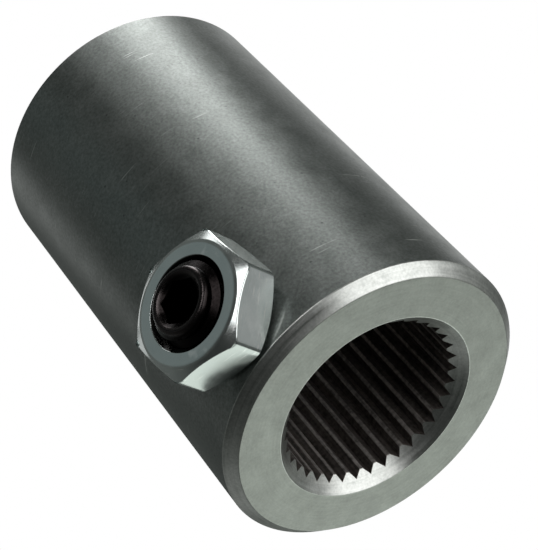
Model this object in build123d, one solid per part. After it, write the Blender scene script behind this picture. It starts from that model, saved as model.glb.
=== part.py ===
"""Splined sleeve coupling with one locked set screw.

Frame: the coupling stands on its plain end. The origin is on the bore axis in that end's face,
+Z runs up the bore to the splined end, and the set screw points out along -Y.
All sizes are in millimetres.
"""

import math
import os

from build123d import *

INCH = 25.4

# Sleeve
SLEEVE_DIAMETER = 1.25 * INCH
SLEEVE_LENGTH = 2.0 * INCH
SPLINED_END_CHAMFER = 1.1
PLAIN_END_CHAMFER = 0.5

# Bore: a 36 tooth serration for 3/4 inch shafts in the upper half, a plain 3/4 inch socket below
TOOTH_COUNT = 36
TOOTH_TIP_RADIUS = 8.93
TOOTH_VALLEY_RADIUS = 9.52
TOOTH_FLANK_ANGLE = 45.0
TOOTH_TURN = 2.5
SPLINE_LENGTH = 1.0 * INCH
SPLINE_MOUTH_RADIUS = 10.4
PLAIN_BORE_RADIUS = 9.55
PLAIN_MOUTH_CHAMFER = 0.5

# Set screw: 5/16-18 by 1/2 inch, cup point, hexagon socket
THREAD_RADIUS = 5 / 32 * INCH
THREAD_CLEARANCE = 0.05
SCREW_LENGTH = 0.5 * INCH
SCREW_TO_END_FACE = 8.0
SCREW_TIP_FROM_AXIS = 9.05
SCREW_END_CHAMFER = 0.7
POINT_CHAMFER = 1.2
CUP_RADIUS = 2.2
CUP_DEPTH = 0.9
SOCKET_ACROSS_FLATS = 5 / 32 * INCH
SOCKET_DEPTH = 4.2
SOCKET_DRILL_DEPTH = 1.0
SOCKET_TURN = 12.0

# Jam nut: 5/16 inch, near the small end of the standard's tolerances, chamfered on both faces
NUT_ACROSS_FLATS = 12.5
NUT_CORNER_RADIUS = 7.12
NUT_THICKNESS = 4.66
NUT_CHAMFER_ANGLE = 30.0
NUT_CROWN_RADIUS = 5.9
NUT_COUNTERSINK_RADIUS = 4.55
NUT_SEAT_GAP = 0.02
NUT_TURN = 36.6

SLEEVE_RADIUS = SLEEVE_DIAMETER / 2
SCREW_HEIGHT = SLEEVE_LENGTH - SCREW_TO_END_FACE
HOLE_RADIUS = THREAD_RADIUS + THREAD_CLEARANCE
PLAIN_LENGTH = SLEEVE_LENGTH - SPLINE_LENGTH
NUT_SEAT = SLEEVE_RADIUS + NUT_SEAT_GAP

# Local frame of everything on the screw's axis: its z is the distance out from the bore axis
SCREW_PLANE = Plane(origin=(0, 0, SCREW_HEIGHT), x_dir=(1, 0, 0), z_dir=(0, -1, 0))


def turned(profile):
    """A solid of revolution about Z from (radius, height) points."""
    return revolve(Plane.XZ * make_face(Polyline(*profile, close=True)), Axis.Z)


def hexagon(across_flats, height, turn):
    """A hexagonal prism that stands on the local XY plane, with a corner at the turn angle."""
    outline = RegularPolygon(across_flats / math.sqrt(3), 6, rotation=turn)
    return extrude(outline, height)


def tooth_valley():
    """One V groove of the serration, along the whole splined length, on the +X side."""
    inner = TOOTH_TIP_RADIUS - 0.4
    half_width = (TOOTH_VALLEY_RADIUS - inner) * math.tan(math.radians(TOOTH_FLANK_ANGLE))
    outline = Polyline(
        (TOOTH_VALLEY_RADIUS, 0), (inner, half_width), (inner, -half_width), close=True
    )
    return Pos(0, 0, PLAIN_LENGTH) * extrude(make_face(outline), SPLINE_LENGTH)


def sleeve():
    mouth_depth = SPLINE_MOUTH_RADIUS - TOOTH_TIP_RADIUS
    plain_mouth = PLAIN_BORE_RADIUS + PLAIN_MOUTH_CHAMFER
    body = turned(
        [
            (plain_mouth, 0),
            (SLEEVE_RADIUS - PLAIN_END_CHAMFER, 0),
            (SLEEVE_RADIUS, PLAIN_END_CHAMFER),
            (SLEEVE_RADIUS, SLEEVE_LENGTH - SPLINED_END_CHAMFER),
            (SLEEVE_RADIUS - SPLINED_END_CHAMFER, SLEEVE_LENGTH),
            (SPLINE_MOUTH_RADIUS, SLEEVE_LENGTH),
            (TOOTH_TIP_RADIUS, SLEEVE_LENGTH - mouth_depth),
            (TOOTH_TIP_RADIUS, PLAIN_LENGTH),
            (PLAIN_BORE_RADIUS, PLAIN_LENGTH),
            (PLAIN_BORE_RADIUS, PLAIN_MOUTH_CHAMFER),
        ]
    )
    valleys = PolarLocations(0, TOOTH_COUNT, TOOTH_TURN) * tooth_valley()
    tapped_hole = SCREW_PLANE * extrude(Circle(HOLE_RADIUS), SLEEVE_DIAMETER)
    return body - valleys - tapped_hole


def set_screw():
    inner, outer = SCREW_TIP_FROM_AXIS, SCREW_TIP_FROM_AXIS + SCREW_LENGTH
    blank = turned(
        [
            (0, inner + CUP_DEPTH),
            (CUP_RADIUS, inner),
            (THREAD_RADIUS - POINT_CHAMFER, inner),
            (THREAD_RADIUS, inner + POINT_CHAMFER),
            (THREAD_RADIUS, outer - SCREW_END_CHAMFER),
            (THREAD_RADIUS - SCREW_END_CHAMFER, outer),
            (0, outer),
        ]
    )
    floor = outer - SOCKET_DEPTH
    socket = Pos(0, 0, floor) * hexagon(SOCKET_ACROSS_FLATS, SOCKET_DEPTH, SOCKET_TURN)
    drill_point = turned([(0, floor - SOCKET_DRILL_DEPTH), (SOCKET_ACROSS_FLATS / 2, floor), (0, floor)])
    return SCREW_PLANE * (blank - socket - drill_point)


def jam_nut():
    """A chamfered ring cut to a hexagon: the ring's outside takes the sharp edge off each corner."""
    drop = (NUT_CORNER_RADIUS - NUT_CROWN_RADIUS) * math.tan(math.radians(NUT_CHAMFER_ANGLE))
    top = NUT_SEAT + NUT_THICKNESS
    countersink = NUT_COUNTERSINK_RADIUS - HOLE_RADIUS
    ring = turned(
        [
            (NUT_COUNTERSINK_RADIUS, NUT_SEAT),
            (NUT_CROWN_RADIUS, NUT_SEAT),
            (NUT_CORNER_RADIUS, NUT_SEAT + drop),
            (NUT_CORNER_RADIUS, top - drop),
            (NUT_CROWN_RADIUS, top),
            (NUT_COUNTERSINK_RADIUS, top),
            (HOLE_RADIUS, top - countersink),
            (HOLE_RADIUS, NUT_SEAT + countersink),
        ]
    )
    prism = Pos(0, 0, NUT_SEAT) * hexagon(NUT_ACROSS_FLATS, NUT_THICKNESS, NUT_TURN)
    return SCREW_PLANE * (ring & prism)


def write(shape, node):
    export_step(shape, f"parts/{node}.step")


os.makedirs("parts", exist_ok=True)
write(sleeve(), "sleeve")
write(set_screw(), "set_screw")
write(jam_nut(), "jam_nut")
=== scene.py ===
import math

import bpy
from mathutils import Matrix, Vector


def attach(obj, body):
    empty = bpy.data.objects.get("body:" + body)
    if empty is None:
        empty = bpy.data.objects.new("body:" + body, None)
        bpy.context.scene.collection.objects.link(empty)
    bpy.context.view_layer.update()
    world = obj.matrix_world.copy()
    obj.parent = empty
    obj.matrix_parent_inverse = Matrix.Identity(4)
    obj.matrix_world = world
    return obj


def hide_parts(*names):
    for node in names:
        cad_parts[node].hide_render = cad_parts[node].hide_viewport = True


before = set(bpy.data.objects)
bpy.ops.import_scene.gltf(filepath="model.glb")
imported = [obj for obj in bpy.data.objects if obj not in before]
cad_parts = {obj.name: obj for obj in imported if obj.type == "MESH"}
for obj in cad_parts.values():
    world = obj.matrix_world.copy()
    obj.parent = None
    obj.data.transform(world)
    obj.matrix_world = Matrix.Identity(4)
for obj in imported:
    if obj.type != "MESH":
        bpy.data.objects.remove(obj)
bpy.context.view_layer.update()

MM = 0.001
PER_MM = 1 / MM

# Sleeve, in millimetres: a turned tube, serrated in its upper half, plain in its lower half
SLEEVE_RADIUS = 15.875
SLEEVE_LENGTH = 50.8
SPLINED_END_CHAMFER = 1.1
PLAIN_END_CHAMFER = 0.5
TOOTH_COUNT = 36
TOOTH_COLUMNS = 10
TOOTH_TIP_RADIUS = 8.93
TOOTH_VALLEY_RADIUS = 9.52
TOOTH_FLANK_END = math.radians(3.923)
TOOTH_TURN = math.radians(2.5)
SPLINE_BOTTOM = 25.4
MOUTH_RADIUS = 10.4
PLAIN_BORE_RADIUS = 9.55
PLAIN_MOUTH_RADIUS = 10.05

# Thread, 5/16-18: the screw's and the tapped holes' sizes, a running clearance apart. Each joint slides or
# turns alone, so the threads line up only at whole turns and pass through each other between them
THREAD_PITCH = 25.4 / 18
SCREW_CREST_RADIUS = 3.949
SCREW_ROOT_RADIUS = 3.29
HOLE_CREST_RADIUS = 3.43
HOLE_ROOT_RADIUS = 4.03
CREST_FLAT = 1 / 8

# Set screw and jam nut: distances are measured out from the bore axis along the screw
SCREW_HEIGHT = 42.8
SCREW_TIP = 9.05
SCREW_TOP = 21.75
SCREW_RIM_RADIUS = 3.15
SCREW_RIM_HEIGHT = 0.4
SCREW_RIM_FLARE = 0.13
SCREW_LIP_RADIUS = 2.7
SCREW_POINT_RADIUS = 2.769
SCREW_POINT_EDGE = 0.05
SCREW_CUP_RADIUS = 2.2
SCREW_CUP_DEPTH = 0.9
SOCKET_ACROSS_FLATS = 3.969
SOCKET_MOUTH_SLOPE = 0.7
SOCKET_DRILL_SHARE = 0.96
SOCKET_DRILL_DEPTH = 1.0
SOCKET_FLOOR = 17.55
SOCKET_TURN = math.radians(12)
NUT_SEAT = 15.895
NUT_TOP = 20.555
NUT_ACROSS_FLATS = 12.5
NUT_CORNER_FILLET = 0.626
NUT_CROWN_RADIUS = 5.9
NUT_COUNTERSINK_RADIUS = 4.55
NUT_COUNTERSINK_EDGE = 0.1
NUT_CHAMFER_SLOPE = math.tan(math.radians(30))
NUT_TURN = math.radians(36.6)

# The tap reaches from inside the bore to outside the sleeve
TAP_START = 5.0
TAP_END = 18.0
TAP_CLEARANCE = 0.02

# How finely a rounded corner is divided, and how near the guard points stand to it
ARC_STEP = 18
GUARD_GAP = 0.04
SHARP_ANGLE = math.radians(32)

# Keeps a whole index from rounding down when it is divided
INDEX_NUDGE = 1e-5
MERGE_DISTANCE = 1e-6

# What a point of a profile may carry besides its radius and height
POINT_MARKS = ("follow", "rise", "helix", "finish")


def add(tree, kind, inputs=None, **settings):
    """A node with its settings, and its inputs linked or filled.

    A node given as an input stands for its first output.
    """
    node = tree.nodes.new(kind)
    for name, value in settings.items():
        setattr(node, name, value)
    for key, value in (inputs or {}).items():
        if isinstance(value, bpy.types.Node):
            value = value.outputs[0]
        if isinstance(value, bpy.types.NodeSocket):
            tree.links.new(value, node.inputs[key])
        else:
            node.inputs[key].default_value = value
    return node


def linear(code):
    """An sRGB colour such as #8A8D89 as linear red, green, blue and alpha."""
    parts = [int(code[i : i + 2], 16) / 255 for i in (1, 3, 5)]
    return [c / 12.92 if c <= 0.04045 else ((c + 0.055) / 1.055) ** 2.4 for c in parts] + [1]


def new_object(name, data):
    """An object for the data, added to the scene."""
    made = bpy.data.objects.new(name, data)
    bpy.context.scene.collection.objects.link(made)
    return made


# ---------------------------------------------------------------- profiles


def rounded(corners, closed):
    """Profile points from (radius, height, rounding, marks, step) corners.

    Each corner becomes a short arc with a guard point on both sides, so that the flats beside it stay flat
    to the eye. Step divides the run that leaves the corner.
    """
    points = []
    count = len(corners)
    for i, (r, z, rounding, carried, step) in enumerate(corners):
        here = Vector((r, z))
        open_end = not closed and i in (0, count - 1)
        after = Vector(corners[(i + 1) % count][:2])
        if rounding and not open_end:
            to_last = (Vector(corners[i - 1][:2]) - here).normalized()
            to_next = (after - here).normalized()
            half = to_last.angle(to_next) / 2
            tangent = rounding / math.tan(half)
            centre = here + (to_last + to_next).normalized() * (rounding / math.sin(half))
            first = here + to_last * tangent - centre
            last = here + to_next * tangent - centre
            turn = first.angle_signed(last)
            pieces = max(2, math.ceil(math.degrees(abs(turn)) / ARC_STEP))
            before = (Vector(corners[i - 1][:2]) - here).length - tangent
            beyond = (after - here).length - tangent
            arc = [here + to_last * (tangent + min(GUARD_GAP, before / 3))]
            for k in range(pieces + 1):
                spun = Matrix.Rotation(-turn * k / pieces, 2) @ first
                arc.append(centre + spun)
            arc.append(here + to_next * (tangent + min(GUARD_GAP, beyond / 3)))
        else:
            arc = [here]
        points += [(p.x, p.y, carried) for p in arc]
        if step and (closed or i < count - 1):
            run = after - arc[-1]
            pieces = max(1, math.ceil(run.length / step))
            ahead = corners[(i + 1) % count][3]
            for k in range(1, pieces):
                p = arc[-1] + run * (k / pieces)
                source = ahead if ahead["rise"] == carried["rise"] else carried
                points.append((p.x, p.y, dict(carried, follow=source["follow"])))
    return points


def marks(finish, follow=0.0, rise=0.0, helix=0.0):
    """What a profile point carries: its finish's number, and how it keeps to the outline or the helix."""
    return {"follow": follow, "rise": rise, "helix": helix, "finish": finish}


def thread_rows(low, high, crest, root, finish, descending=False):
    """Rows that follow the thread's helix, from two turns under low up to high.

    The tree trims them to length.
    """
    depth = crest - root
    flank = abs(depth) * math.tan(math.radians(30)) / THREAD_PITCH
    edge = CREST_FLAT / 2
    shares = [0, edge, edge + flank * 0.34, edge + flank * 0.67, edge + flank]
    shares += [0.5, 1 - edge - flank, 1 - edge - flank * 0.67, 1 - edge - flank * 0.34, 1 - edge]
    rows = []
    for turn in range(math.floor(low / THREAD_PITCH) - 2, math.ceil(high / THREAD_PITCH) + 1):
        for share in shares:
            away = min(share, 1 - share)
            fall = min(1, max(0, (away - edge) / flank))
            height = (turn + share) * THREAD_PITCH
            rows.append((crest - depth * fall, height, marks(finish, helix=1)))
    return rows[::-1] if descending else rows


def profile_object(name, points):
    """The profile as a mesh of loose points in the XZ plane, with its marks as point attributes."""
    mesh = bpy.data.meshes.new(name)
    mesh.from_pydata([(r * MM, 0, z * MM) for r, z, _ in points], [], [])
    for mark in POINT_MARKS:
        layer = mesh.attributes.new(mark, "FLOAT", "POINT")
        layer.data.foreach_set("value", [p[2][mark] for p in points])
    return new_object(name, mesh)


# ---------------------------------------------------------------- Geometry Nodes


def part_and_share(tree, column, size):
    """Which tooth or flat a column belongs to, and how far across it the column lies, from 0 to 1."""
    through = add(tree, "ShaderNodeMath", {0: column, 1: size["Columns per part"]}, operation="DIVIDE")
    part = add(tree, "ShaderNodeMath", {0: through}, operation="FLOOR")
    share = add(tree, "ShaderNodeMath", {0: through, 1: part}, operation="SUBTRACT")
    return part, share


def serration_outline(tree, column, size):
    """A bore column's angle and its distance outside the tooth tips: V valleys between lands."""
    tooth, share = part_and_share(tree, column, size)
    rest = add(tree, "ShaderNodeMath", {0: 1.0, 1: share}, operation="SUBTRACT")
    near = add(tree, "ShaderNodeMath", {0: share, 1: rest}, operation="MINIMUM")
    far = add(tree, "ShaderNodeMath", {0: near, 1: 2.0}, operation="MULTIPLY")
    # Six columns in ten shape the flanks, the rest the land
    flank_share = 0.6
    along = add(tree, "ShaderNodeMapRange", {"Value": far, "From Max": flank_share})
    land = add(tree, "ShaderNodeMapRange", {"Value": far, "From Min": flank_share})
    foot = add(tree, "ShaderNodeMath", {0: size["Flank end"]}, operation="COSINE")
    foot = add(tree, "ShaderNodeMath", {0: foot, 1: size["Inner radius"]}, operation="MULTIPLY")
    wide = add(tree, "ShaderNodeMath", {0: size["Flank end"]}, operation="SINE")
    wide = add(tree, "ShaderNodeMath", {0: wide, 1: size["Inner radius"]}, operation="MULTIPLY")
    x = add(tree, "ShaderNodeMapRange", {"Value": along, "To Min": size["Outer radius"], "To Max": foot})
    y = add(tree, "ShaderNodeMath", {0: along, 1: wide}, operation="MULTIPLY")
    flat = add(tree, "ShaderNodeCombineXYZ", {0: x, 1: y})
    radius = add(tree, "ShaderNodeVectorMath", {0: flat}, operation="LENGTH").outputs["Value"]
    turned = add(tree, "ShaderNodeMath", {0: y, 1: x}, operation="ARCTAN2")
    pitch = add(tree, "ShaderNodeMath", {0: math.tau, 1: size["Parts"]}, operation="DIVIDE")
    half = add(tree, "ShaderNodeMath", {0: pitch, 1: 0.5}, operation="MULTIPLY")
    spare = add(tree, "ShaderNodeMath", {0: half, 1: size["Flank end"]}, operation="SUBTRACT")
    inward = add(tree, "ShaderNodeMath", {0: land, 1: spare, 2: turned}, operation="MULTIPLY_ADD")
    gap = add(tree, "ShaderNodeMath", {0: half, 1: inward}, operation="SUBTRACT")
    side = add(tree, "ShaderNodeMath", {0: share, 1: 0.5}, operation="SUBTRACT")
    side = add(tree, "ShaderNodeMath", {0: side}, operation="SIGN")
    within = add(tree, "ShaderNodeMath", {0: side, 1: gap, 2: half}, operation="MULTIPLY_ADD")
    angle = add(tree, "ShaderNodeMath", {0: tooth, 1: pitch, 2: within}, operation="MULTIPLY_ADD")
    extra = add(tree, "ShaderNodeMath", {0: radius, 1: size["Inner radius"]}, operation="SUBTRACT")
    return angle, extra


def flats_outline(tree, column, size):
    """A column's angle and its distance outside a filleted polygon's flats; columns crowd at the corners."""
    flat, share = part_and_share(tree, column, size)
    sector = add(tree, "ShaderNodeMath", {0: math.tau, 1: size["Parts"]}, operation="DIVIDE")
    half = add(tree, "ShaderNodeMath", {0: sector, 1: 0.5}, operation="MULTIPLY")
    wave = add(tree, "ShaderNodeMath", {0: share, 1: math.pi, 2: -math.pi / 2}, operation="MULTIPLY_ADD")
    wave = add(tree, "ShaderNodeMath", {0: wave}, operation="SINE")
    aside = add(tree, "ShaderNodeMath", {0: wave, 1: half}, operation="MULTIPLY")
    middle = add(tree, "ShaderNodeMath", {0: flat, 1: sector, 2: half}, operation="MULTIPLY_ADD")
    angle = add(tree, "ShaderNodeMath", {0: middle, 1: aside}, operation="ADD")
    spread = add(tree, "ShaderNodeMath", {0: aside}, operation="ABSOLUTE")
    corner = add(tree, "ShaderNodeMath", {0: half, 1: spread}, operation="SUBTRACT")
    straight = add(tree, "ShaderNodeMath", {0: spread}, operation="COSINE")
    straight = add(tree, "ShaderNodeMath", {0: size["Inner radius"], 1: straight}, operation="DIVIDE")
    # The fillet is a circle whose centre lies on the line to the corner
    fillet = size["Corner fillet"]
    cosine = add(tree, "ShaderNodeMath", {0: half}, operation="COSINE")
    centre = add(tree, "ShaderNodeMath", {0: size["Inner radius"], 1: fillet}, operation="SUBTRACT")
    centre = add(tree, "ShaderNodeMath", {0: centre, 1: cosine}, operation="DIVIDE")
    across = add(tree, "ShaderNodeMath", {0: corner}, operation="SINE")
    across = add(tree, "ShaderNodeMath", {0: across, 1: centre}, operation="MULTIPLY")
    across = add(tree, "ShaderNodeMath", {0: across, 1: 2.0}, operation="POWER")
    reach = add(tree, "ShaderNodeMath", {0: fillet, 1: 2.0}, operation="POWER")
    reach = add(tree, "ShaderNodeMath", {0: reach, 1: across}, operation="SUBTRACT")
    reach = add(tree, "ShaderNodeMath", {0: reach, 1: 0.0}, operation="MAXIMUM")
    reach = add(tree, "ShaderNodeMath", {0: reach}, operation="SQRT")
    ahead = add(tree, "ShaderNodeMath", {0: corner}, operation="COSINE")
    bent = add(tree, "ShaderNodeMath", {0: ahead, 1: centre, 2: reach}, operation="MULTIPLY_ADD")
    # Where the fillet touches the flat, seen from the axis
    tall = add(tree, "ShaderNodeMath", {0: fillet, 1: cosine, 2: centre}, operation="MULTIPLY_ADD")
    sine = add(tree, "ShaderNodeMath", {0: half}, operation="SINE")
    low = add(tree, "ShaderNodeMath", {0: fillet, 1: sine}, operation="MULTIPLY")
    touch = add(tree, "ShaderNodeMath", {0: low, 1: tall}, operation="ARCTAN2")
    in_corner = add(tree, "ShaderNodeMath", {0: corner, 1: touch}, operation="LESS_THAN")
    radius = add(tree, "ShaderNodeMapRange", {"Value": in_corner, "To Min": straight, "To Max": bent})
    extra = add(tree, "ShaderNodeMath", {0: radius, 1: size["Inner radius"]}, operation="SUBTRACT")
    return angle, extra


TURNED_INPUTS = (
    ("Parts", "NodeSocketInt"),
    ("Columns per part", "NodeSocketInt"),
    ("Inner radius", "NodeSocketFloat"),
    ("Outer radius", "NodeSocketFloat"),
    ("Flank end", "NodeSocketFloat"),
    ("Corner fillet", "NodeSocketFloat"),
    ("Start angle", "NodeSocketFloat"),
    ("Closed", "NodeSocketInt"),
    ("Pitch", "NodeSocketFloat"),
    ("Thread low", "NodeSocketFloat"),
    ("Thread high", "NodeSocketFloat"),
    ("Low limit radius", "NodeSocketFloat"),
    ("High limit radius", "NodeSocketFloat"),
    ("Outside", "NodeSocketFloat"),
    ("Rotation", "NodeSocketRotation"),
    ("Place", "NodeSocketVector"),
)


def turned_tree(name, outline, finishes):
    """Geometry Nodes that carry a profile round an axis.

    A profile point keeps to a circle, or follows the outline (follow), sliding up its cone as it does (rise),
    or follows the thread's helix (helix), trimmed between two 45 degree cones at the thread's ends.
    """
    tree = bpy.data.node_groups.new(name, "GeometryNodeTree")
    tree.interface.new_socket("Geometry", in_out="INPUT", socket_type="NodeSocketGeometry")
    for label, kind in TURNED_INPUTS:
        tree.interface.new_socket(label, in_out="INPUT", socket_type=kind)
    for k in range(finishes):
        tree.interface.new_socket(f"Finish {k}", in_out="INPUT", socket_type="NodeSocketMaterial")
    tree.interface.new_socket("Geometry", in_out="OUTPUT", socket_type="NodeSocketGeometry")
    size = tree.nodes.new("NodeGroupInput").outputs
    profile = size["Geometry"]

    points = add(tree, "GeometryNodeAttributeDomainSize", {0: profile}).outputs["Point Count"]
    rows = add(tree, "ShaderNodeMath", {0: points, 1: size["Closed"]}, operation="ADD")
    columns = add(tree, "ShaderNodeMath", {0: size["Parts"], 1: size["Columns per part"]},
                  operation="MULTIPLY")
    across = add(tree, "ShaderNodeMath", {0: columns, 1: 1.0}, operation="ADD")
    grid = add(tree, "GeometryNodeMeshGrid", {"Vertices X": across, "Vertices Y": rows})

    index = add(tree, "GeometryNodeInputIndex")
    column = add(tree, "ShaderNodeMath", {0: index, 1: rows}, operation="DIVIDE")
    column = add(tree, "ShaderNodeMath", {0: column, 1: INDEX_NUDGE}, operation="ADD")
    column = add(tree, "ShaderNodeMath", {0: column}, operation="FLOOR")
    row = add(tree, "ShaderNodeMath", {0: column, 1: rows}, operation="MULTIPLY")
    row = add(tree, "ShaderNodeMath", {0: index, 1: row}, operation="SUBTRACT")
    row = add(tree, "ShaderNodeMath", {0: row, 1: points}, operation="MODULO")
    place = add(tree, "GeometryNodeSampleIndex",
                {"Geometry": profile, "Value": add(tree, "GeometryNodeInputPosition"), "Index": row},
                data_type="FLOAT_VECTOR")
    place = add(tree, "ShaderNodeSeparateXYZ", {0: place})
    mark = {}
    for label in ("follow", "rise", "helix"):
        read = add(tree, "GeometryNodeInputNamedAttribute", {"Name": label})
        mark[label] = add(tree, "GeometryNodeSampleIndex", {"Geometry": profile, "Value": read, "Index": row})

    angle, extra = outline(tree, column, size)
    angle = add(tree, "ShaderNodeMath", {0: angle, 1: size["Start angle"]}, operation="ADD")
    extra = add(tree, "ShaderNodeMath", {0: extra, 1: mark["follow"]}, operation="MULTIPLY")
    radius = add(tree, "ShaderNodeMath", {0: place.outputs["X"], 1: extra}, operation="ADD")
    height = add(tree, "ShaderNodeMath", {0: extra, 1: mark["rise"], 2: place.outputs["Z"]},
                 operation="MULTIPLY_ADD")

    # Thread rows climb with the angle, stop at both ends and stay inside the two end cones
    climb = add(tree, "ShaderNodeMath", {0: angle, 1: math.tau}, operation="DIVIDE")
    climb = add(tree, "ShaderNodeMath", {0: climb, 1: size["Pitch"], 2: height}, operation="MULTIPLY_ADD")
    climb = add(tree, "ShaderNodeMath", {0: climb, 1: size["Thread low"]}, operation="MAXIMUM")
    climb = add(tree, "ShaderNodeMath", {0: climb, 1: size["Thread high"]}, operation="MINIMUM")
    above = add(tree, "ShaderNodeMath", {0: climb, 1: size["Thread low"]}, operation="SUBTRACT")
    below = add(tree, "ShaderNodeMath", {0: size["Thread high"], 1: climb}, operation="SUBTRACT")
    low_cone = add(tree, "ShaderNodeMath", {0: above, 1: size["Outside"], 2: size["Low limit radius"]},
                   operation="MULTIPLY_ADD")
    high_cone = add(tree, "ShaderNodeMath", {0: below, 1: size["Outside"], 2: size["High limit radius"]},
                    operation="MULTIPLY_ADD")
    signed = [add(tree, "ShaderNodeMath", {0: r, 1: size["Outside"]}, operation="MULTIPLY")
              for r in (radius, low_cone, high_cone)]
    least = add(tree, "ShaderNodeMath", {0: signed[0], 1: signed[1]}, operation="MINIMUM")
    least = add(tree, "ShaderNodeMath", {0: least, 1: signed[2]}, operation="MINIMUM")
    least = add(tree, "ShaderNodeMath", {0: least, 1: size["Outside"]}, operation="MULTIPLY")
    radius = add(tree, "ShaderNodeMapRange", {"Value": mark["helix"], "To Min": radius, "To Max": least})
    height = add(tree, "ShaderNodeMapRange", {"Value": mark["helix"], "To Min": height, "To Max": climb})

    cosine = add(tree, "ShaderNodeMath", {0: angle}, operation="COSINE")
    sine = add(tree, "ShaderNodeMath", {0: angle}, operation="SINE")
    x = add(tree, "ShaderNodeMath", {0: cosine, 1: radius}, operation="MULTIPLY")
    y = add(tree, "ShaderNodeMath", {0: sine, 1: radius}, operation="MULTIPLY")
    where = add(tree, "ShaderNodeCombineXYZ", {0: x, 1: y, 2: height})

    # Each face takes the finish of the row that it leaves, before the doubled rows are merged
    strips = add(tree, "ShaderNodeMath", {0: rows, 1: 1.0}, operation="SUBTRACT")
    strip = add(tree, "ShaderNodeMath", {0: index, 1: strips}, operation="MODULO")
    read = add(tree, "GeometryNodeInputNamedAttribute", {"Name": "finish"})
    finish = add(tree, "GeometryNodeSampleIndex", {"Geometry": profile, "Value": read, "Index": strip})
    stored = add(tree, "GeometryNodeStoreNamedAttribute",
                 {"Geometry": grid, "Name": "finish", "Value": finish}, data_type="FLOAT", domain="FACE")
    shaped = add(tree, "GeometryNodeSetPosition", {"Geometry": stored, "Position": where})
    merged = add(tree, "GeometryNodeMergeByDistance", {"Geometry": shaped, "Distance": MERGE_DISTANCE})
    placed = add(tree, "GeometryNodeTransform",
                 {"Geometry": merged, "Rotation": size["Rotation"], "Translation": size["Place"]})
    last = add(tree, "GeometryNodeRealizeInstances", {0: placed})
    named = add(tree, "GeometryNodeInputNamedAttribute", {"Name": "finish"})
    for k in range(finishes):
        chosen = add(tree, "FunctionNodeCompare", {"A": named, "B": float(k), "Epsilon": 0.1},
                     operation="EQUAL")
        last = add(tree, "GeometryNodeSetMaterial",
                   {"Geometry": last, "Selection": chosen, "Material": size[f"Finish {k}"]})
    add(tree, "NodeGroupOutput", {0: last})
    return tree


def turned_piece(name, points, tree, sizes, materials):
    """The profile carried round by the tree, as a plain mesh on a new object at the origin."""
    blank = profile_object(name + "_profile", points)
    modifier = blank.modifiers.new("turned", "NODES")
    modifier.node_group = tree
    values = dict(sizes, **{f"Finish {k}": m for k, m in enumerate(materials)})
    for item in tree.interface.items_tree:
        if item.in_out == "INPUT" and item.name in values:
            modifier[item.identifier] = values[item.name]
    return plain_copy(blank, name)


def plain_copy(source, name):
    """The evaluated object as a plain mesh on a new object; the source is removed."""
    bpy.context.view_layer.update()
    graph = bpy.context.evaluated_depsgraph_get()
    mesh = bpy.data.meshes.new_from_object(source.evaluated_get(graph), depsgraph=graph)
    source.modifiers.clear()
    bpy.data.objects.remove(source)
    mesh.name = name
    drop_empty_slot(mesh)
    mesh.shade_smooth()
    mesh.set_sharp_from_angle(angle=SHARP_ANGLE)
    return new_object(name, mesh)


def drop_empty_slot(mesh):
    """Geometry Nodes leave slot 0 empty before the materials that they set."""
    if mesh.materials and mesh.materials[0] is None:
        kept = [m for m in mesh.materials if m]
        numbers = [0] * len(mesh.polygons)
        mesh.polygons.foreach_get("material_index", numbers)
        mesh.materials.clear()
        for m in kept:
            mesh.materials.append(m)
        mesh.polygons.foreach_set("material_index", [max(0, n - 1) for n in numbers])


NO_THREAD = {"Pitch": 0.0, "Thread low": 0.0, "Thread high": 0.0, "Low limit radius": 0.0,
             "High limit radius": 0.0, "Outside": 1.0}


def threaded_sizes(low, high, low_limit, high_limit, outside):
    """The thread's two ends in millimetres, and the radius at which each end's 45 degree cone starts.

    Outside is 1 for a thread on a rod and -1 for one in a hole.
    """
    return {"Pitch": THREAD_PITCH * MM, "Thread low": low * MM, "Thread high": high * MM,
            "Low limit radius": low_limit * MM, "High limit radius": high_limit * MM, "Outside": outside}


def hexagon_sizes(columns, apothem, fillet, turn, closed):
    """Six flats round the screw's axis, turned to point out of the sleeve at the screw's height."""
    return {"Parts": 6, "Columns per part": columns, "Inner radius": apothem * MM, "Outer radius": 0.0,
            "Flank end": 0.0, "Corner fillet": fillet * MM, "Start angle": turn, "Closed": closed,
            "Rotation": (math.pi / 2, 0, 0), "Place": (0, 0, SCREW_HEIGHT * MM)}


# ---------------------------------------------------------------- finishes

# A colour Mix node's two colour inputs and its colour output
FIRST, SECOND, MIXED = 6, 7, 2
BUMP_DEPTH = 0.02

# A pale arc painted round the screw's axis, its bearing turned from +X towards +Z
PALE_ARC_RADIUS = 6.9
PALE_ARC_HALF_WIDTH = 0.17
PALE_ARC_BEARING = 2.1
PALE_ARC_STRENGTH = 0.5


def finish_material(name):
    """A material with an empty node tree."""
    material = bpy.data.materials.new(name)
    material.use_nodes = True
    tree = material.node_tree
    tree.nodes.clear()
    return material, tree


def metal_surface(tree, tone, rough, height, strength, metallic=1.0):
    """Ends a finish: its colour, roughness and bump on one shader."""
    bump = add(tree, "ShaderNodeBump", {"Height": height, "Strength": strength, "Distance": BUMP_DEPTH * MM})
    shader = add(tree, "ShaderNodeBsdfPrincipled", {"Base Color": tone.outputs[MIXED], "Metallic": metallic,
                                                    "Roughness": rough, "Normal": bump})
    add(tree, "ShaderNodeOutputMaterial", {0: shader})


def from_bore_axis(tree, where):
    """The distance from the bore axis, and the offset square to that axis."""
    beside = add(tree, "ShaderNodeVectorMath", {0: where, 1: (1, 1, 0)}, operation="MULTIPLY")
    return add(tree, "ShaderNodeVectorMath", {0: beside}, operation="LENGTH").outputs["Value"], beside


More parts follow.
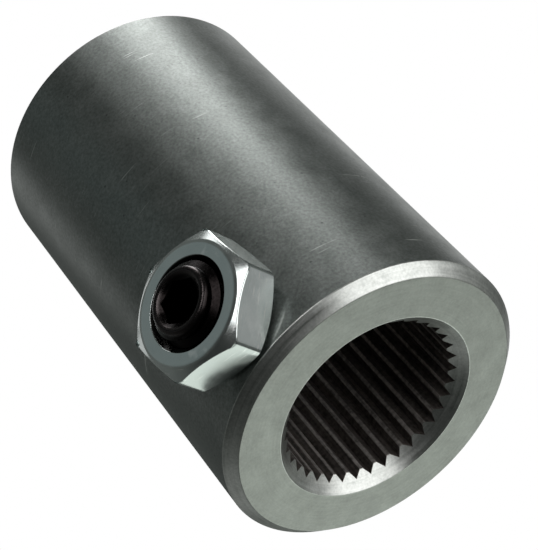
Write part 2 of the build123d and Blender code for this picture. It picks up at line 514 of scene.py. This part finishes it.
def from_screw_axis(tree, where):
    """The distance from the screw's axis, and the offset square to that axis."""
    beside = add(tree, "ShaderNodeVectorMath", {0: where, 1: (0, 0, -SCREW_HEIGHT * MM)}, operation="ADD")
    beside = add(tree, "ShaderNodeVectorMath", {0: beside, 1: (1, 0, 1)}, operation="MULTIPLY")
    return add(tree, "ShaderNodeVectorMath", {0: beside}, operation="LENGTH").outputs["Value"], beside


def tumbled_steel():
    """Turned bar, tumbled and lightly oiled: satin dark grey, with speckle, pits and stray scratches."""
    material, tree = finish_material("tumbled_steel_side")
    where = add(tree, "ShaderNodeTexCoord").outputs["Object"]
    # Tumbling leaves a 0.1 mm speckle, drawn at 0.3 mm so that it shows, over 2.4 mm patches
    speckle = add(tree, "ShaderNodeTexNoise",
                  {"Vector": where, "Scale": 3.3 * PER_MM, "Detail": 4.0, "Roughness": 0.65})
    patches = add(tree, "ShaderNodeTexNoise",
                  {"Vector": where, "Scale": 0.42 * PER_MM, "Detail": 5.0, "Roughness": 0.6})
    tone = add(tree, "ShaderNodeMix",
               {"Factor": patches, FIRST: linear("#6E7370"), SECOND: linear("#888C89")},
               data_type="RGBA")
    dots = add(tree, "ShaderNodeMapRange", {"Value": speckle, "From Min": 0.3, "From Max": 0.7,
                                            "To Min": 0.72, "To Max": 1.28})
    tone = add(tree, "ShaderNodeMix", {"Factor": 1.0, FIRST: tone.outputs[MIXED], SECOND: dots},
               data_type="RGBA", blend_type="MULTIPLY")
    # Pits: 0.12 mm, one to each 1.1 mm, and only where a slow noise lets them show
    pits = add(tree, "ShaderNodeTexVoronoi", {"Vector": where, "Scale": 0.9 * PER_MM}).outputs["Distance"]
    pits = add(tree, "ShaderNodeMapRange",
               {"Value": pits, "From Min": 0.07, "From Max": 0.15, "To Min": 0.45})
    few = add(tree, "ShaderNodeTexNoise", {"Vector": where, "Scale": 0.7 * PER_MM, "Detail": 1.0})
    few = add(tree, "ShaderNodeMapRange", {"Value": few, "From Min": 0.56, "From Max": 0.66})
    pits = add(tree, "ShaderNodeMapRange", {"Value": few, "To Min": 1.0, "To Max": pits})
    # Scratches: short arcs round the sleeve, drawn 0.1 mm wide so that they show
    around = add(tree, "ShaderNodeVectorMath",
                 {0: where, 1: (0.13 * PER_MM, 0.13 * PER_MM, 5.2 * PER_MM)}, operation="MULTIPLY")
    lines = add(tree, "ShaderNodeTexNoise", {"Vector": around, "Scale": 1.0, "Detail": 2.0})
    lines = add(tree, "ShaderNodeMapRange", {"Value": lines, "From Min": 0.66, "From Max": 0.74})
    where_worn = add(tree, "ShaderNodeTexNoise", {"Vector": where, "Scale": 0.19 * PER_MM, "Detail": 2.0})
    where_worn = add(tree, "ShaderNodeMapRange", {"Value": where_worn, "From Min": 0.52, "From Max": 0.62})
    lines = add(tree, "ShaderNodeMath", {0: lines, 1: where_worn}, operation="MULTIPLY")
    # A pale arc is painted beside the nut, on the screw's side of the sleeve only
    distance, beside = from_screw_axis(tree, where)
    part = add(tree, "ShaderNodeSeparateXYZ", {0: beside})
    pale_arc = add(tree, "ShaderNodeMath", {0: distance, 1: PALE_ARC_RADIUS * MM}, operation="SUBTRACT")
    pale_arc = add(tree, "ShaderNodeMath", {0: pale_arc}, operation="ABSOLUTE")
    pale_arc = add(tree, "ShaderNodeMapRange", {"Value": pale_arc, "From Max": PALE_ARC_HALF_WIDTH * MM,
                                           "To Min": PALE_ARC_STRENGTH, "To Max": 0.0})
    front = add(tree, "ShaderNodeSeparateXYZ", {0: where}).outputs["Y"]
    front = add(tree, "ShaderNodeMath", {0: front, 1: 0.0}, operation="LESS_THAN")
    pale_arc = add(tree, "ShaderNodeMath", {0: pale_arc, 1: front}, operation="MULTIPLY")
    bearing = add(tree, "ShaderNodeMath", {0: part.outputs["Z"], 1: part.outputs["X"]}, operation="ARCTAN2")
    bearing = add(tree, "ShaderNodeMath", {0: bearing, 1: PALE_ARC_BEARING}, operation="SUBTRACT")
    bearing = add(tree, "ShaderNodeMath", {0: bearing}, operation="ABSOLUTE")
    bearing = add(tree, "ShaderNodeMapRange", {"Value": bearing, "From Min": 0.1, "From Max": 0.24,
                                               "To Min": 1.0, "To Max": 0.0})
    pale_arc = add(tree, "ShaderNodeMath", {0: pale_arc, 1: bearing}, operation="MULTIPLY")
    pale_arc = add(tree, "ShaderNodeMath", {0: pale_arc, 1: dots}, operation="MULTIPLY")
    bright = add(tree, "ShaderNodeMath", {0: lines, 1: pale_arc}, operation="MAXIMUM")
    tone = add(tree, "ShaderNodeMix",
               {"Factor": bright, FIRST: tone.outputs[MIXED], SECOND: linear("#E4E7E2")},
               data_type="RGBA")
    tone = add(tree, "ShaderNodeMix", {"Factor": 1.0, FIRST: tone.outputs[MIXED], SECOND: pits},
               data_type="RGBA", blend_type="MULTIPLY")
    rough = add(tree, "ShaderNodeMapRange", {"Value": patches, "From Min": 0.3, "From Max": 0.7,
                                             "To Min": 0.32, "To Max": 0.42})
    height = add(tree, "ShaderNodeMath", {0: speckle, 1: pits}, operation="ADD")
    metal_surface(tree, tone, rough, height, 0.16)
    return material


def turned_steel(name, dark, light, roughness, marks_each_mm, strength):
    """Steel as the turning tool left it: concentric marks that catch the light across the cut."""
    material, tree = finish_material(name)
    where = add(tree, "ShaderNodeTexCoord").outputs["Object"]
    # Tool marks are about 0.15 mm apart, and are drawn about twice as far apart so that they show
    distance, beside = from_bore_axis(tree, where)
    across = add(tree, "ShaderNodeMath", {0: distance, 1: marks_each_mm * PER_MM}, operation="MULTIPLY")
    beside = add(tree, "ShaderNodeVectorMath", {0: beside}, operation="NORMALIZE")
    part = add(tree, "ShaderNodeSeparateXYZ", {0: beside})
    cut = add(tree, "ShaderNodeCombineXYZ", {0: across, 1: part.outputs["X"], 2: part.outputs["Y"]})
    rings = add(tree, "ShaderNodeTexNoise", {"Vector": cut, "Scale": 1.0, "Detail": 4.0, "Roughness": 0.7})
    # Handling leaves 2 mm patches, and the steel's grain is drawn at 0.24 mm so that it shows
    patches = add(tree, "ShaderNodeTexNoise",
                  {"Vector": where, "Scale": 0.45 * PER_MM, "Detail": 6.0, "Roughness": 0.65})
    grain = add(tree, "ShaderNodeTexNoise", {"Vector": where, "Scale": 4.2 * PER_MM, "Detail": 3.0})
    mixed = add(tree, "ShaderNodeMath", {0: rings, 1: 0.4}, operation="MULTIPLY")
    mixed = add(tree, "ShaderNodeMath", {0: patches, 1: 0.35, 2: mixed}, operation="MULTIPLY_ADD")
    mixed = add(tree, "ShaderNodeMath", {0: grain, 1: 0.25, 2: mixed}, operation="MULTIPLY_ADD")
    share = add(tree, "ShaderNodeMapRange", {"Value": mixed, "From Min": 0.38, "From Max": 0.62})
    tone = add(tree, "ShaderNodeMix", {"Factor": share, FIRST: linear(dark), SECOND: linear(light)},
               data_type="RGBA")
    rough = add(tree, "ShaderNodeMapRange", {"Value": rings, "From Min": 0.3, "From Max": 0.7,
                                             "To Min": roughness - 0.05, "To Max": roughness + 0.06})
    height = add(tree, "ShaderNodeMath", {0: grain, 1: 0.3, 2: rings}, operation="MULTIPLY_ADD")
    metal_surface(tree, tone, rough, height, strength)
    return material


def broached_steel():
    """Bore cut by a broach: marks run lengthwise, the lands stay lighter and the valleys are painted darker
    as shade.
    """
    material, tree = finish_material("broached_steel_bore")
    where = add(tree, "ShaderNodeTexCoord").outputs["Object"]
    radius, _ = from_bore_axis(tree, where)
    # Broach marks are drawn 0.24 mm wide and 6 mm long, and crumbs of dry oil 0.4 mm, so that they show
    along = add(tree, "ShaderNodeVectorMath",
                {0: where, 1: (4.2 * PER_MM, 4.2 * PER_MM, 0.16 * PER_MM)}, operation="MULTIPLY")
    streaks = add(tree, "ShaderNodeTexNoise", {"Vector": along, "Scale": 1.0, "Detail": 3.0})
    crumbs = add(tree, "ShaderNodeTexNoise", {"Vector": where, "Scale": 2.6 * PER_MM, "Detail": 3.0})
    # Painted shade: the tone darkens from the tooth lands down into the valleys
    depth = add(tree, "ShaderNodeMapRange", {"Value": radius, "From Min": (TOOTH_TIP_RADIUS + 0.01) * MM,
                                             "From Max": (TOOTH_TIP_RADIUS + 0.07) * MM})
    tone = add(tree, "ShaderNodeMix", {"Factor": depth, FIRST: linear("#A09B97"), SECOND: linear("#5C5652")},
               data_type="RGBA")
    mixed = add(tree, "ShaderNodeMath", {0: streaks, 1: crumbs}, operation="ADD")
    worn = add(tree, "ShaderNodeMapRange", {"Value": mixed, "From Min": 0.75, "From Max": 1.25,
                                            "To Min": 0.45, "To Max": 1.4})
    tone = add(tree, "ShaderNodeMix", {"Factor": 1.0, FIRST: tone.outputs[MIXED], SECOND: worn},
               data_type="RGBA", blend_type="MULTIPLY")
    # The film of oil makes the steel less than fully metallic to the eye
    metal_surface(tree, tone, 0.45, mixed, 0.4, metallic=0.6)
    return material


def zinc_plate():
    """Bright zinc with a clear passivate: cool silver, cloudy on flat faces, with fine handling scratches."""
    material, tree = finish_material("zinc_plate_clear")
    where = add(tree, "ShaderNodeTexCoord").outputs["Object"]
    # Clouds are 2 mm across. The plating's grain is drawn at 0.2 mm and its scratches 0.14 mm wide, so
    # that they show
    clouds = add(tree, "ShaderNodeTexNoise",
                 {"Vector": where, "Scale": 0.55 * PER_MM, "Detail": 5.0, "Roughness": 0.6})
    grain = add(tree, "ShaderNodeTexNoise", {"Vector": where, "Scale": 5.0 * PER_MM, "Detail": 3.0})
    skewed = add(tree, "ShaderNodeMapping", {"Vector": where, "Rotation": (0.3, 0.5, 0.2),
                                             "Scale": (0.5 * PER_MM, 7.0 * PER_MM, 0.5 * PER_MM)})
    lines = add(tree, "ShaderNodeTexNoise", {"Vector": skewed, "Scale": 1.0, "Detail": 2.0})
    scratch = add(tree, "ShaderNodeMapRange", {"Value": lines, "From Min": 0.64, "From Max": 0.72})
    tone = add(tree, "ShaderNodeMix", {"Factor": clouds, FIRST: linear("#C6CDCC"), SECOND: linear("#E2E7E5")},
               data_type="RGBA")
    tone = add(tree, "ShaderNodeMix",
               {"Factor": scratch, FIRST: tone.outputs[MIXED], SECOND: linear("#F2F3F1")},
               data_type="RGBA")
    # Painted shade darkens the nut's thread and countersink
    distance, _ = from_screw_axis(tree, where)
    beyond_hole_shade = add(tree, "ShaderNodeMapRange",
                {"Value": distance, "From Min": (NUT_COUNTERSINK_RADIUS - 0.08) * MM,
                 "From Max": (NUT_COUNTERSINK_RADIUS - 0.01) * MM})
    tone = add(tree, "ShaderNodeMix",
               {"Factor": beyond_hole_shade, FIRST: linear("#2E2E2C"), SECOND: tone.outputs[MIXED]},
               data_type="RGBA")
    rough = add(tree, "ShaderNodeMapRange", {"Value": clouds, "From Min": 0.35, "From Max": 0.65,
                                             "To Min": 0.17, "To Max": 0.24})
    height = add(tree, "ShaderNodeMath", {0: lines, 1: 0.5, 2: grain}, operation="MULTIPLY_ADD")
    metal_surface(tree, tone, rough, height, 0.02)
    return material


def black_oxide():
    """Hardened steel blacked in hot salts and oiled: brown-black, with soft sheen on rounded edges, and
    painted shade in its socket and thread.
    """
    material, tree = finish_material("black_oxide_oiled")
    where = add(tree, "ShaderNodeTexCoord").outputs["Object"]
    # The oxide's grain is drawn at 0.26 mm so that it shows, under 1.2 mm clouds of oil
    grain = add(tree, "ShaderNodeTexNoise", {"Vector": where, "Scale": 3.8 * PER_MM, "Detail": 4.0})
    clouds = add(tree, "ShaderNodeTexNoise", {"Vector": where, "Scale": 0.8 * PER_MM, "Detail": 4.0})
    tone = add(tree, "ShaderNodeMix", {"Factor": clouds, FIRST: linear("#383434"), SECOND: linear("#4C4747")},
               data_type="RGBA")
    # Painted shade keeps the thread and the socket darker than the rim
    distance, _ = from_screw_axis(tree, where)
    inside = add(tree, "ShaderNodeMapRange", {"Value": distance, "From Min": (SCREW_LIP_RADIUS - 0.35) * MM,
                                              "From Max": (SCREW_LIP_RADIUS - 0.1) * MM})
    outside = add(tree, "ShaderNodeMapRange", {"Value": distance, "From Min": SCREW_RIM_RADIUS * MM,
                                               "From Max": (SCREW_RIM_RADIUS + 0.12) * MM,
                                               "To Min": 1.0, "To Max": 0.0})
    unshaded_rim = add(tree, "ShaderNodeMath", {0: inside, 1: outside}, operation="MULTIPLY")
    tone = add(tree, "ShaderNodeMix",
               {"Factor": unshaded_rim, FIRST: linear("#1A1717"), SECOND: tone.outputs[MIXED]},
               data_type="RGBA")
    rough = add(tree, "ShaderNodeMapRange", {"Value": grain, "From Min": 0.3, "From Max": 0.7,
                                             "To Min": 0.18, "To Max": 0.34})
    metal_surface(tree, tone, rough, grain, 0.2)
    return material


# ---------------------------------------------------------------- pieces

# A finish's number is its place in its piece's list; the screw and the nut have only finish 0
SIDE, FACE, CHAMFER, BORE = range(4)
side, face, chamfer, bore = (marks(k) for k in (SIDE, FACE, CHAMFER, BORE))
plain = marks(0)

sleeve_finishes = [
    tumbled_steel(),
    turned_steel("turned_steel_face", "#9A9C98", "#B8BBB6", 0.44, 3.2, 0.3),
    turned_steel("turned_steel_chamfer", "#A8ABA7", "#DCDEDA", 0.33, 4.0, 0.25),
    broached_steel(),
]
nut_finish = zinc_plate()
screw_finish = black_oxide()


def sleeve_profile():
    """Rows are radius, height, rounding, marks and step, as rounded() takes them.

    The row 0.8 mm under the mouth keeps the rise to the mouth's cone alone.
    """
    mouth_low = SLEEVE_LENGTH - (MOUTH_RADIUS - TOOTH_TIP_RADIUS)
    return rounded(
        [
            (PLAIN_MOUTH_RADIUS, 0, 0.06, face, 0),
            (SLEEVE_RADIUS - PLAIN_END_CHAMFER, 0, 0.1, chamfer, 0),
            (SLEEVE_RADIUS, PLAIN_END_CHAMFER, 0.12, side, 1.5),
            (SLEEVE_RADIUS, SLEEVE_LENGTH - SPLINED_END_CHAMFER, 0.12, chamfer, 0),
            (SLEEVE_RADIUS - SPLINED_END_CHAMFER, SLEEVE_LENGTH, 0.1, face, 1.5),
            (MOUTH_RADIUS, SLEEVE_LENGTH, 0.06, chamfer, 0),
            (TOOTH_TIP_RADIUS, mouth_low, 0.04, marks(BORE, follow=1, rise=1), 0),
            (TOOTH_TIP_RADIUS, mouth_low - 0.8, 0, marks(BORE, follow=1), 1.5),
            (TOOTH_TIP_RADIUS, SPLINE_BOTTOM, 0, marks(BORE, follow=1), 0),
            (PLAIN_BORE_RADIUS, SPLINE_BOTTOM, 0, bore, 2.5),
            (PLAIN_BORE_RADIUS, PLAIN_MOUTH_RADIUS - PLAIN_BORE_RADIUS, 0.05, chamfer, 0),
        ],
        closed=True,
    )


def make_sleeve():
    """The serrated tube, with the tapped hole cut through one wall."""
    tree = turned_tree("Serrated tube", serration_outline, len(sleeve_finishes))
    tube = turned_piece("sleeve_tube", sleeve_profile(), tree, {
        "Parts": TOOTH_COUNT,
        "Columns per part": TOOTH_COLUMNS,
        "Inner radius": TOOTH_TIP_RADIUS * MM,
        "Outer radius": TOOTH_VALLEY_RADIUS * MM,
        "Flank end": TOOTH_FLANK_END,
        "Corner fillet": 0.0,
        "Start angle": TOOTH_TURN,
        "Closed": 1,
        "Rotation": (0, 0, 0),
        "Place": (0, 0, 0),
        **NO_THREAD,
    }, sleeve_finishes)
    tap = make_tap()
    cut = tube.modifiers.new("tapped hole", "BOOLEAN")
    cut.operation = "DIFFERENCE"
    cut.solver = "EXACT"
    cut.object = tap
    made = plain_copy(tube, "sleeve_body")
    bpy.data.objects.remove(tap)
    return made


def make_tap():
    """The threaded rod that cuts the sleeve's hole."""
    end = HOLE_CREST_RADIUS - TAP_CLEARANCE
    thread = thread_rows(TAP_START, TAP_END, HOLE_ROOT_RADIUS, HOLE_CREST_RADIUS, BORE)
    points = [(0, TAP_START, bore), *thread, (0, TAP_END, bore)]
    tree = turned_tree("Tap", flats_outline, len(sleeve_finishes))
    sizes = {**hexagon_sizes(16, end, 0.1, SOCKET_TURN, 0),
             **threaded_sizes(TAP_START, TAP_END, end, end, 1.0)}
    return turned_piece("tap", points, tree, sizes, sleeve_finishes)


def make_screw():
    """Cup point, thread, rounded rim, hexagon socket and the cone that its drill left."""
    low, high = SCREW_TIP + SCREW_POINT_EDGE, SCREW_TOP - SCREW_RIM_HEIGHT
    foot_radius = SCREW_POINT_RADIUS + SCREW_POINT_EDGE
    rim_foot = SCREW_RIM_RADIUS + SCREW_RIM_FLARE
    foot = [(0, SCREW_TIP + SCREW_CUP_DEPTH), (SCREW_CUP_RADIUS, SCREW_TIP), (SCREW_POINT_RADIUS, SCREW_TIP),
            (foot_radius, low)]
    tip = rounded([(r, z, 0.08, plain, 0) for r, z in foot], closed=False)
    thread = thread_rows(low, high, SCREW_CREST_RADIUS, SCREW_ROOT_RADIUS, 0)
    apothem = SOCKET_ACROSS_FLATS / 2
    mouth_low = SCREW_TOP - (SCREW_LIP_RADIUS - apothem) * SOCKET_MOUTH_SLOPE
    head = rounded(
        [
            (rim_foot, high, 0, plain, 0),
            (SCREW_RIM_RADIUS, SCREW_TOP, 0.4, plain, 0),
            (SCREW_LIP_RADIUS, SCREW_TOP, 0.4, plain, 0),
            (apothem, mouth_low, 0.15, marks(0, follow=1, rise=SOCKET_MOUTH_SLOPE), 0),
            (apothem, SOCKET_FLOOR, 0, marks(0, follow=1), 0),
            (apothem * SOCKET_DRILL_SHARE, SOCKET_FLOOR, 0, plain, 0),
            (0, SOCKET_FLOOR - SOCKET_DRILL_DEPTH, 0, plain, 0),
        ],
        closed=False,
    )
    tree = turned_tree("Threaded screw", flats_outline, 1)
    sizes = {**hexagon_sizes(16, apothem, 0.05, SOCKET_TURN, 0),
             **threaded_sizes(low, high, foot_radius, rim_foot, 1.0)}
    return turned_piece("set_screw_body", tip + thread + head, tree, sizes, [screw_finish])


def make_nut():
    """Hexagon chamfered on both faces, its outer shoulder softened, with a countersunk thread."""
    edge = NUT_COUNTERSINK_RADIUS - NUT_COUNTERSINK_EDGE
    low, high = NUT_SEAT + NUT_COUNTERSINK_EDGE, NUT_TOP - NUT_COUNTERSINK_EDGE
    apothem = NUT_ACROSS_FLATS / 2
    drop = (apothem - NUT_CROWN_RADIUS) * NUT_CHAMFER_SLOPE
    # The shoulder leaves the plain chamfer by up to 0.1 mm on its way to the face
    outside = rounded(
        [
            (edge, low, 0, plain, 0),
            (NUT_COUNTERSINK_RADIUS, NUT_SEAT, 0.05, plain, 0),
            (NUT_CROWN_RADIUS, NUT_SEAT, 0.2, plain, 0),
            (apothem, NUT_SEAT + drop, 0.12, marks(0, follow=1, rise=NUT_CHAMFER_SLOPE), 1.0),
            (apothem, NUT_TOP - drop - 0.05, 0.16, marks(0, follow=1, rise=-NUT_CHAMFER_SLOPE), 0),
            (NUT_CROWN_RADIUS + 0.08, NUT_TOP - 0.09, 0.4, plain, 0),
            (NUT_CROWN_RADIUS - 0.2, NUT_TOP, 1.0, plain, 0),
            (NUT_COUNTERSINK_RADIUS, NUT_TOP, 0.05, plain, 0),
            (edge, high, 0, plain, 0),
        ],
        closed=False,
    )
    thread = thread_rows(low, high, HOLE_ROOT_RADIUS, HOLE_CREST_RADIUS, 0, descending=True)
    tree = turned_tree("Hexagon nut", flats_outline, 1)
    sizes = {**hexagon_sizes(24, apothem, NUT_CORNER_FILLET, NUT_TURN, 1),
             **threaded_sizes(low, high, edge, edge, -1.0)}
    return turned_piece("jam_nut_body", outside + thread, tree, sizes, [nut_finish])


for piece, body, slot in (
    (make_sleeve(), "sleeve", "machined_steel"),
    (make_screw(), "set_screw", "black_oxide_steel"),
    (make_nut(), "jam_nut", "zinc_plated_steel"),
):
    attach(piece, body)
    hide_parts(body)

# ---------------------------------------------------------------- studio

LENS = 111.4
SENSOR_WIDTH = 36
CAMERA_PLACE = Vector((-0.04017, -0.12182, 0.14681))
RIGHT = Vector((-0.5704, 0.6584, 0.4910)).normalized()
BACK = Vector((-0.2262, -0.7006, 0.6767)).normalized()
UP = BACK.cross(RIGHT).normalized()
RIGHT = UP.cross(BACK)
LIGHT_AIM = Vector((0, 0, 0.027))
LIGHT_DISTANCE = 0.8
# The dim room's brightness behind the coupling, and on the camera's side
ROOM_BEHIND = 0.14
ROOM_IN_FRONT = 0.035
BACKDROP_REACH = 1.2
FLOOR_GAP = 0.3


def stand(made, axes, place):
    """Turns an object to its own three axes and puts it in its place."""
    made.matrix_world = Matrix([(*row, p) for row, p in zip(zip(*axes), place)] + [(0, 0, 0, 1)])


lens = bpy.data.cameras.new("view")
lens.lens = LENS
lens.sensor_width = SENSOR_WIDTH
lens.clip_start = 0.01
camera = new_object("view", lens)
stand(camera, (RIGHT, UP, BACK), CAMERA_PLACE)
bpy.context.scene.camera = camera


def soft_box(name, off_view, bearing, half_height, half_width, brightness, tint="#FFFFFF", roll=0):
    """A soft light aimed at the coupling, which the camera doesn't see.

    Angles are in degrees: off_view from the camera's side of the coupling, bearing round the view from its
    right, the half height and half width that the coupling sees, and the light's own roll. Brightness is
    what a mirror would show, 1 being plain white. Tint is an sRGB colour.
    """
    off, turn = math.radians(off_view), math.radians(bearing)
    outward = RIGHT * math.cos(turn) + UP * math.sin(turn)
    towards = outward * math.sin(off) + BACK * math.cos(off)
    height_way = (outward * math.cos(off) - BACK * math.sin(off)).normalized()
    height_way = Matrix.Rotation(math.radians(roll), 3, towards) @ height_way
    width_way = height_way.cross(towards)
    width = 2 * LIGHT_DISTANCE * math.tan(math.radians(half_width))
    height = 2 * LIGHT_DISTANCE * math.tan(math.radians(half_height))
    lamp = bpy.data.lights.new(name, "AREA")
    lamp.shape = "RECTANGLE"
    lamp.size, lamp.size_y = width, height
    lamp.energy = brightness * math.pi * width * height
    lamp.color = linear(tint)[:3]
    made = new_object(name, lamp)
    place = [a + t * LIGHT_DISTANCE for a, t in zip(LIGHT_AIM, towards)]
    stand(made, (width_way, height_way, towards), place)
    made.visible_camera = False


soft_box("top_box", 120, 101, 17, 11, 5.4)
soft_box("upper_box", 106, 121, 12, 3.5, 1.6)
soft_box("upper_left_box", 40, 123, 22, 7, 3.5, roll=-35)
soft_box("right_box", 52, 24, 29, 23, 1.9)
soft_box("right_side_box", 94, 6, 14, 14, 0.24)
soft_box("low_right_box", 106, 300, 23, 24, 0.95, "#F2FAF2")
soft_box("low_left_box", 110, 246, 18, 20, 0.13)
soft_box("back_box", 165, 45, 22, 22, 0.7)
soft_box("back_left_box", 146, 166, 13, 8, 0.6)
soft_box("left_box", 134, 187, 9, 6, 0.5)
soft_box("nut_face_box", 90, 162, 16, 14, 0.09, "#E0FAFF")

world = bpy.data.worlds.new("studio")
world.use_nodes = True
sky = world.node_tree
sky.nodes.clear()
# The room is dim, and darkest on the camera's side
look = add(sky, "ShaderNodeTexCoord").outputs["Generated"]
front = add(sky, "ShaderNodeVectorMath", {0: look, 1: BACK}, operation="DOT_PRODUCT").outputs["Value"]
dim = add(sky, "ShaderNodeMapRange", {"Value": front, "From Min": -0.3, "From Max": 0.7,
                                      "To Min": ROOM_BEHIND, "To Max": ROOM_IN_FRONT},
          interpolation_type="SMOOTHSTEP")
room = add(sky, "ShaderNodeBackground", {"Color": linear("#EDF5F0"), "Strength": dim})
add(sky, "ShaderNodeOutputWorld", {0: room})
bpy.context.scene.world = world
bpy.context.scene.view_settings.view_transform = "Standard"

# A plain floor with far walls and a ceiling, so that every view has the same pale backdrop
edges = (-BACKDROP_REACH, BACKDROP_REACH)
plan = [(edges[0], edges[0]), (edges[1], edges[0]), (edges[1], edges[1]), (edges[0], edges[1])]
corners = [(x, y, z) for z in (-FLOOR_GAP * MM, BACKDROP_REACH) for x, y in plan]
sides = [(0, 1, 2, 3), (7, 6, 5, 4), (0, 4, 5, 1), (1, 5, 6, 2), (2, 6, 7, 3), (3, 7, 4, 0)]
floor_mesh = bpy.data.meshes.new("floor")
floor_mesh.from_pydata(corners, [], sides)
floor = new_object("floor", floor_mesh)
floor.visible_shadow = False
floor.visible_glossy = False
floor.visible_diffuse = False
paper, paper_tree = finish_material("white_paper")
white = add(paper_tree, "ShaderNodeEmission", {"Color": (1, 1, 1, 1)})
add(paper_tree, "ShaderNodeOutputMaterial", {0: white})
floor_mesh.materials.append(paper)
